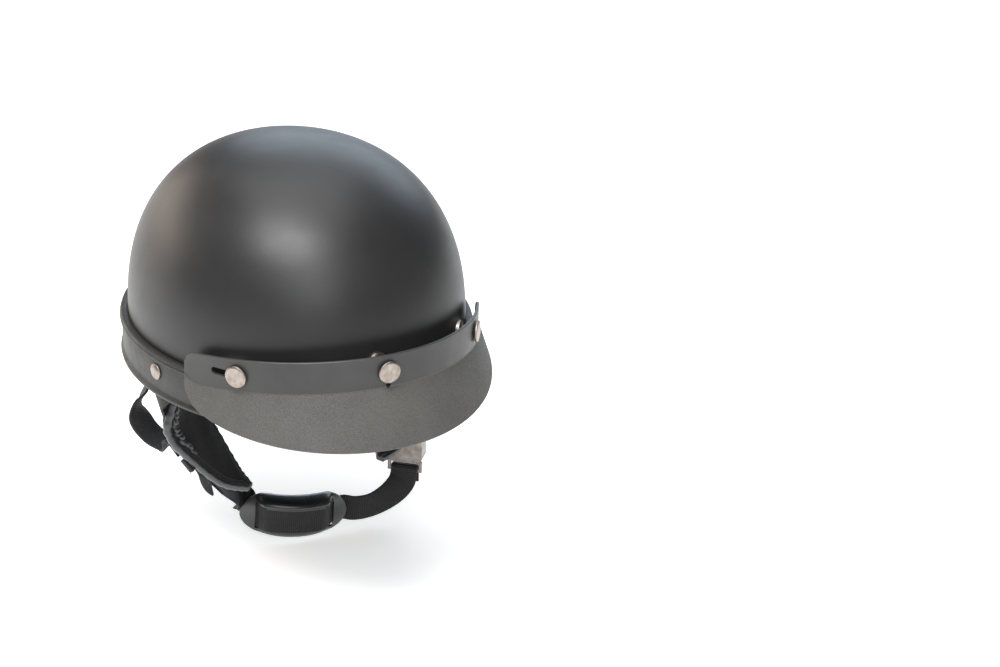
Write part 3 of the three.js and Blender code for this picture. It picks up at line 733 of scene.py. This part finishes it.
V = Vector
PAD_LINE = [V((-88.5, 6, 4)), V((-91, 7, -18)), V((-85, 3.4, -40)), V((-74, -9, -59.4)),
            V((-61.4, -22.9, -77.4)), V((-50.6, -31.7, -84.6))]
PAD_ACROSS = [V((0.02, 1, 0)), V((0.2, 0.98, 0.02)), V((0.72, 0.7, 0.03)), V((0.78, 0.62, 0.1)),
              V((0.78, 0.59, 0.21)), V((0.81, 0.55, 0.22))]
STRAP_CLEAR = 6.9


def pad_frame(travel):
    along = curve_tangent(PAD_LINE, travel)
    side = curve_point(PAD_ACROSS, travel)
    side = (side - along * side.dot(along)).normalized()
    return curve_point(PAD_LINE, travel), side, side.cross(along).normalized()


def pad_point(travel, across, outward):
    at, side, out = pad_frame(travel)
    return at + side * across + out * outward


def pad_half_width(travel):
    return 22.5 - 39.5 * max(0.0, travel - 0.5) - 32 * max(0.0, 0.35 - travel)


def mirror(points):
    return [V((-p.x, p.y, p.z)) for p in points]


def ear_pad(side):
    """Fleece on the wearer's side, vinyl outside, and a rolled binding round the edge."""
    steps, corners = 48, 28
    rings = []
    for i in range(steps + 1):
        travel = i / steps
        width = pad_half_width(travel) - 0.8
        ring = []
        for k in range(corners):
            turn = 2 * math.pi * k / corners
            c, s = math.cos(turn), math.sin(turn)
            fat = 3.9 * math.copysign(abs(s) ** 0.6, s)
            ripple = (0.35 * math.sin(travel * 60 + c * 3) * (1 - travel) if s > 0
                      else 0.25 * math.sin(travel * 25 + c * 6))
            ring.append(pad_point(travel, width * c, fat + (ripple if abs(s) > 0.3 else 0)))
        rings.append(mirror(ring) if side == "left" else ring)
    pad = loft(f"ear_pad_{side}_fleece", rings, [FLEECE, VINYL], smooth=80)
    for face in pad.data.polygons:
        centre = face.center / MM
        if side == "left":
            centre.x = -centre.x
        near = min((k / 40 for k in range(41)), key=lambda t: (curve_point(PAD_LINE, t) - centre).length)
        at, _, out = pad_frame(near)
        face.material_index = 1 if (centre - at).dot(out) > 0.4 else 0
    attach(pad, "helmet")
    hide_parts(f"ear_pad_{side}")
    edge = [pad_point(t / 60, pad_half_width(t / 60) - 0.6, 0.6) for t in range(61)]
    edge += [pad_point(t / 60, -pad_half_width(t / 60) + 0.6, 0.6) for t in range(60, -1, -1)]
    edge = mirror(edge) if side == "left" else edge
    outs = [pad_frame(t / 60)[2] for t in list(range(61)) + list(range(60, -1, -1))]
    outs = mirror(outs) if side == "left" else outs
    rings = []
    for i, point in enumerate(edge):
        along = (edge[min(i + 1, len(edge) - 1)] - edge[max(i - 1, 0)]).normalized()
        out = (outs[i] - along * outs[i].dot(along)).normalized()
        wide = along.cross(out)
        pinch = 1 + 0.12 * math.sin(i * 1.9)
        rings.append([point + wide * (1.7 * pinch * math.cos(a)) + out * (3.0 * pinch * math.sin(a))
                      for a in (2 * math.pi * k / 10 for k in range(10))])
    binding = loft(f"ear_pad_{side}_binding", rings, VINYL, smooth=80)
    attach(binding, "helmet")


def gathers(side):
    """Vinyl bunched up beside the binding, and the row of stitches between it and the fleece."""
    points, steps = [], 150
    for i in range(steps + 1):
        t = 0.24 + 0.36 * i / steps
        points.append(pad_point(t, -(pad_half_width(t) - 5.2 - 0.5 * math.sin(i * 0.21)), -3.7))
    points = mirror(points) if side == "left" else points
    rings = []
    for i, point in enumerate(points):
        along = (points[min(i + 1, steps)] - points[max(i - 1, 0)]).normalized()
        u = along.orthogonal().normalized()
        w = along.cross(u)
        ends = (0.1 + math.sin(math.pi * i / steps)) ** 0.5
        ring = []
        for a in (2 * math.pi * k / 20 for k in range(20)):
            crease = abs(math.sin(i * 0.235 + 0.9 * math.sin(a) + 0.5 * math.sin(i * 0.07))) ** 0.45
            ring.append(point + (u * math.cos(a) + w * math.sin(a)) * (1.0 + 1.7 * crease) * ends)
        rings.append(ring)
    bunch = loft(f"ear_pad_{side}_gathers", rings, VINYL, smooth=80)
    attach(bunch, "helmet")
    rows = [(t / 64, -(pad_half_width(t / 64) - 4.3), -3.6) for t in range(14, 62)]
    stitch_row(f"ear_pad_{side}_stitches", [pad_point(*r) for r in rows], side, "helmet")


def stitch_row(name, points, side, body, thick=0.28):
    """Short raised thread ends along a line of points."""
    points = mirror(points) if side == "left" else points
    verts, faces = [], []
    for a, b in zip(points, points[1:]):
        along = b - a
        u = along.orthogonal().normalized()
        w = along.normalized().cross(u)
        for share, fat in ((0.12, 0.3), (0.3, 1.0), (0.7, 1.0), (0.88, 0.3)):
            start = len(verts)
            verts += [a + along * share + (u * math.cos(q) + w * math.sin(q)) * thick * fat
                      for q in (math.pi * k / 3 for k in range(6))]
            if share > 0.12:
                faces += [(start - 6 + k, start - 6 + (k + 1) % 6, start + (k + 1) % 6, start + k)
                          for k in range(6)]
            else:
                faces.append(tuple(start + k for k in range(6)))
        faces.append(tuple(start + k for k in range(5, -1, -1)))
    row = mesh_object(name, verts, faces, THREAD, smooth=80)
    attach(row, body)
    return row


def strap_stops(rivet_degrees, heights):
    theta = -math.radians(rivet_degrees)
    return [(wall(theta, -6.5, z), (wall(theta - 0.1, -6.5, z) - wall(theta, -6.5, z)).normalized())
            for z in heights]


def beside(travel, clear=STRAP_CLEAR):
    return pad_point(travel, -4, clear), pad_frame(travel)[1]


def flip(stops, side):
    return [(V((-p.x, p.y, p.z)), V((-a.x, a.y, a.z))) for p, a in stops] if side == "left" else stops


JUNCTION = V((-67, 1, -95))


def harness():
    free = (V((-107.5, -16, -12)), V((0.1, 0.99, 0)))
    front_right = strap_stops(75.6, (28, 17, 6)) + [free] + [beside(t) for t in (0.3, 0.4, 0.5, 0.6, 0.68)]
    front_right.append((JUNCTION, V((0.3, 0.92, -0.25))))
    front_left = strap_stops(75.6, (28, 17, 6)) + [free] + [beside(t) for t in (0.26, 0.36, 0.46)]
    front_left += [(V((-83, -9.5, -66)), V((0.7, 0.71, 0))), (V((-81, -10, -74)), V((0.755, 0.656, 0))),
                   (V((-81, -10, -80)), V((0.755, 0.656, 0)))]
    over = STRAP_CLEAR + WEB_THICK + 3.2
    rear_right = strap_stops(120, (28, 17, 5, -5)) + [
        (V((-91, 63, -24)), V((0.4, 0.9, 0.02))), (V((-90, 63, -40)), V((0.35, 0.92, 0.05))),
        (V((-98, 57, -51.5)), V((0.6, 0.75, 0.1))), (V((-99, 51, -61)), V((0.85, 0.45, 0.1))),
        (V((-94, 40, -69)), V((0.82, 0.55, 0.12))), (V((-88, 24, -68.5)), V((0.8, 0.6, 0.15)))]
    rear_right += [beside(t, over) for t in (0.47, 0.55)]
    rear_left = strap_stops(120, (28, 17, 5, -5)) + [
        (V((-96, 60, -14)), V((0.3, 0.95, 0))), (V((-101, 50, -30)), V((0.2, 0.8, 0.6))),
        (V((-104, 32, -36)), V((0.2, 0.7, 0.7)))] + [beside(t, over) for t in (0.24, 0.32)]
    for name, stops in (("front_strap_right", front_right), ("front_strap_left", front_left),
                        ("rear_strap_right", rear_right), ("rear_strap_left", rear_left)):
        strap = ribbon(f"{name}_web", flip(stops, name.split("_")[-1]), 150, WEB)
        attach(strap, "helmet")
        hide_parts(name)
    for side, travel in (("right", 0.62), ("left", 0.42)):
        keeper(side, travel)


def keeper(side, travel):
    """Webbing bridge sewn to the pad over the strap."""
    at, across, out = pad_frame(travel)
    along = across.cross(out)
    half, low, high = WEB_WIDTH / 2 + 2.4, 4.4, STRAP_CLEAR + WEB_THICK + 1.8
    path = [(-half - 3, low), (-half - 0.6, low + 0.4), (-half, (low + high) / 2), (-half + 1.2, high),
            (0, high + 0.3), (half - 1.2, high), (half, (low + high) / 2),
            (half + 0.6, low + 0.4), (half + 3, low)]
    stops = [(at + across * (x - 4) + out * h, along) for x, h in path]
    for end in (-1, 1):
        row = [at + across * (end * (half + 2.2) - 4) + out * (low + 0.9) + along * (k - 4.5)
               for k in range(10)]
        stitch_row(f"keeper_{side}_stitches_{end + 1}", row, side, "helmet")
    bridge = ribbon(f"strap_keeper_{side}_web", flip(stops, side), 60, WEB, 11, 1.4)
    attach(bridge, "helmet")
    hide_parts(f"strap_keeper_{side}")


# ---------------------------------------------------------------- buckle

TURN = math.radians(139)
BAR = V((81, -10, -108))
BUCKLE_ACROSS = V((math.cos(TURN), math.sin(TURN), 0))
BUCKLE = Matrix((BUCKLE_ACROSS, V((0, 0, 1)), BUCKLE_ACROSS.cross(V((0, 0, 1))))).transposed().to_4x4()
BUCKLE.translation = BAR


def buckle():
    outline = [(x, y + 19.5) for x, y in rounded(14, 13.5, 4)]
    housing = prism("housing_steel", outline, -6.5, 6.5, BUCKLE, STEEL)
    cut(housing, [
        box("throat", (23, 18, 4.4), (0, 13, -1.2), BUCKLE, STEEL),
        box("strap_slot", (21.6, 8, 3), (0, 31, 0), BUCKLE, STEEL),
        box("well", (16.8, 10.8, 8), (0, 14, 5.4), BUCKLE, STEEL),
    ])
    bevel(housing, 0.7, 3, 40)
    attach(housing, "helmet")
    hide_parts("buckle_housing")
    rings = []
    for i in range(13):
        x = -8 + 16 * i / 12
        ring = []
        for k in range(13):
            y = -5 + 10 * k / 12
            dome = 3.9 * math.sqrt(max(0.0, 1 - (y / 5) ** 2)) * (0.96 if i in (0, 12) else 1)
            ring.append(BUCKLE @ V((x, 14 + y, 6.2 + dome)))
        ring += [BUCKLE @ V((x, 19, 4.9)), BUCKLE @ V((x, 9, 4.9))]
        rings.append(ring)
    button = loft("button_cap", rings, RED, smooth=45)
    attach(button, "release_button")
    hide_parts("release_button")
    plate = [(-13, -4), (13, -4), (13, 4.4), (12.2, 5), (10, 5.2), (10, 16), (6, 19),
             (-6, 19), (-10, 16), (-10, 5.2),
             (-12.2, 5), (-13, 4.4)]
    tongue = prism("tongue_steel", plate, -2.2, -0.2, BUCKLE, STEEL)
    cut(tongue, [
        box("bar_slot", (21.2, 3.8, 6), (0, 1.1, -1.2), BUCKLE, STEEL),
        box("latch_hole", (8, 4.5, 6), (0, 11.75, -1.2), BUCKLE, STEEL),
    ])
    bevel(tongue, 0.35, 2, 40)
    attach(tongue, "chin_strap")
    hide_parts("buckle_tongue")


# ---------------------------------------------------------------- chin strap and cup

CUP_CENTRE = V((-4.5, 0, -132.3))
CUP_ALONG = V((75, -20, -5.5)).normalized()
CUP_FORWARD = -V((0, 0, 1)).cross(CUP_ALONG).normalized()
CUP_UP = -CUP_ALONG.cross(CUP_FORWARD).normalized()
CUP_HALF, CUP_BULGE, CUP_TOP, CUP_WALL, WEB_LIFT = 39.0, 14.0, 18.0, 2.4, 1.0


def cup_point(along, forward, up):
    return CUP_CENTRE + CUP_ALONG * along + CUP_FORWARD * forward + CUP_UP * up


def cup_face(along):
    return CUP_BULGE * (1 - (along / CUP_HALF) ** 2)


CUP_FRONT = [(-15, -3.5), (-14.6, -2.9), (-12, -1.8), (-8, -1), (-4, -0.3), (0, 0), (4, 0), (8, 0), (11.2, 0),
             (11.5, 0.3), (11.5, 2.8), (11.2, 3.1), (10.1, 3.1), (9.8, 3.4),
             (9.8, 4.0), (10.2, 4.4), (11.4, 4.7),
             (12.6, 4.7), (14, 4.0), (15.4, 2.6), (16.4, 0.6), (17.2, -2), (17.7, -4.6), (18, -6.8)]
CUP_BACK = [(17.6, -7.7), (16, -8), (15.2, -6.4), (14.5, -4.5), (13, -3), (11.5, -2.4), (6, -2.4), (0, -2.4),
            (-8, -3.4), (-14.4, -5.6), (-15, -4.9)]


def chin_cup():
    steps = 96
    rings = []
    for i in range(steps + 1):
        spread = math.sin((i / steps - 0.5) * math.pi)
        along = spread * CUP_HALF
        wing = min(1.0, max(0.0, (abs(along) - 23) / 6))
        wing = wing * wing * (3 - 2 * wing)
        shoulder = math.sqrt(max(0.02, 1 - max(0.0, 2 * abs(spread) - 1) ** 2))
        lower = max(0.12, (1 - abs(spread) ** 3) ** 0.5)
        ring = []
        for depth, points in ((0, CUP_FRONT), (-2.4, CUP_BACK)):
            for height, proud in points:
                up = height * (shoulder if height > 0 else lower)
                plain = depth - 5 * (up / CUP_TOP) ** 2
                ring.append(cup_point(along, cup_face(along) + proud + (plain - proud) * wing, up))
        rings.append(ring)
    cup = loft("cup_moulding", rings, CUP, smooth=55)
    place = Matrix((CUP_ALONG, CUP_UP, CUP_FORWARD)).transposed().to_4x4()
    tools = []
    for end in (-1, 1):
        at = place.copy()
        at.translation = cup_point(end * 25, cup_face(25), WEB_LIFT)
        outline = rounded(3.6, 10.4, 1.0)
        tools.append(prism("cup_slot", outline, -9, 9, at, CUP))
    cut(cup, tools)
    tidy_normals(cup, 40)
    bevel(cup, 0.5, 2, 50)
    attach(cup, "chin_strap")
    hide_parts("chin_cup")


def chin_webbing():
    def front(s):
        return cup_point(s, cup_face(s) + 1.6, WEB_LIFT), CUP_UP

    def behind(s):
        return cup_point(s, cup_face(s) - CUP_WALL - 3.9, WEB_LIFT), CUP_UP

    def fold(up, out):
        return BUCKLE @ V((0, up, out)), BUCKLE_ACROSS

    stops = [
        (JUNCTION + V((3, 0.3, -2.4)), V((0.3, 0.92, -0.25))), (V((-57.5, 5, -103)), V((0.3, 0.9, -0.1))),
        (V((-46.8, 10, -111.8)), V((0.3, 0.9, 0.2))), (V((-37.5, 15.5, -121)), V((0.1, 0.2, 0.97))),
        behind(-29.5), front(-20.5), front(-10), front(0), front(10), front(20.5), behind(29.5), behind(36),
        (cup_point(46, -3.5, 0), CUP_UP), (V((54, -10, -135)), V((-0.1, 0, 1))),
        (V((68.5, -11.5, -128.5)), V((-0.4, 0.25, 0.85))), (V((76.5, -13, -119.5)), V((-0.7, 0.5, 0.4))),
        fold(-4, -4), fold(0, -3.6), fold(1, -1.2), fold(0, 1.2), fold(-4, 1.7), fold(-13, 1.9)]
    strap = ribbon("chin_webbing_web", stops, 300, WEB)
    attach(strap, "chin_strap")
    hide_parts("chin_webbing")


# ---------------------------------------------------------------- stage

FLOOR_Z = -0.1505
FLOOR_HALF = 9.0
WORLD_STRENGTH = 0.14
LIGHT_AIM = Vector((0, 0, 0.05))


def stage():
    mesh = bpy.data.meshes.new("floor")
    corners = ((-1, -1), (1, -1), (1, 1), (-1, 1))
    mesh.from_pydata([(x * FLOOR_HALF, y * FLOOR_HALF, FLOOR_Z) for x, y in corners], [], [(0, 1, 2, 3)])
    floor = bpy.data.objects.new("floor", mesh)
    bpy.context.collection.objects.link(floor)
    look = Look("floor_paper", (0.86, 0.86, 0.855), 0.9)
    look.mottle(3, 3, (0.85, 0.85, 0.845), (0.88, 0.88, 0.875))
    look.put("Specular IOR Level", 0.1)
    look.put("Emission Color", (1, 1, 1, 1))
    look.put("Emission Strength", 0.5)
    mesh.materials.append(look.material)


def softbox(name, azimuth, elevation, distance, size, watts, color=(1, 1, 1)):
    """An area light aimed at the dome from a compass direction; azimuth 0 is the wearer's front."""
    a, e = math.radians(azimuth), math.radians(elevation)
    data = bpy.data.lights.new(name, "AREA")
    data.shape = "RECTANGLE"
    data.size, data.size_y = size
    data.energy = watts
    data.color = color
    lamp = bpy.data.objects.new(name, data)
    bpy.context.collection.objects.link(lamp)
    at = LIGHT_AIM + Vector((math.sin(a) * math.cos(e), -math.cos(a) * math.cos(e), math.sin(e))) * distance
    lamp.location = at
    lamp.rotation_euler = (LIGHT_AIM - at).to_track_quat("-Z", "Y").to_euler()


def lights():
    softbox("key", -50, 63, 2.4, (1.5, 1.0), 68)
    softbox("front_fill", -22, 32, 2.6, (1.3, 1.2), 21)
    softbox("back_right", 142, 22, 2.8, (2.6, 1.3), 30, (0.74, 0.87, 1.0))
    softbox("back_left", -150, 12, 2.8, (2.4, 1.0), 27, (1.0, 0.86, 0.74))
    softbox("top", 165, 74, 3.0, (2.6, 2.6), 52)
    world = bpy.data.worlds.new("studio")
    world.use_nodes = True
    background = world.node_tree.nodes["Background"]
    background.inputs["Color"].default_value = (1, 1, 1, 1)
    background.inputs["Strength"].default_value = WORLD_STRENGTH
    bpy.context.scene.world = world
    bpy.context.scene.view_settings.view_transform = "Standard"


# ---------------------------------------------------------------- build

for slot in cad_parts["eps_liner"].material_slots:
    slot.material = FOAM
outer_shell()
rim_band()
headband()
crown_lining()
visor()
snaps()
rivets()
ear_pad("right")
ear_pad("left")
gathers("right")
gathers("left")
harness()
buckle()
chin_cup()
chin_webbing()
stage()
lights()
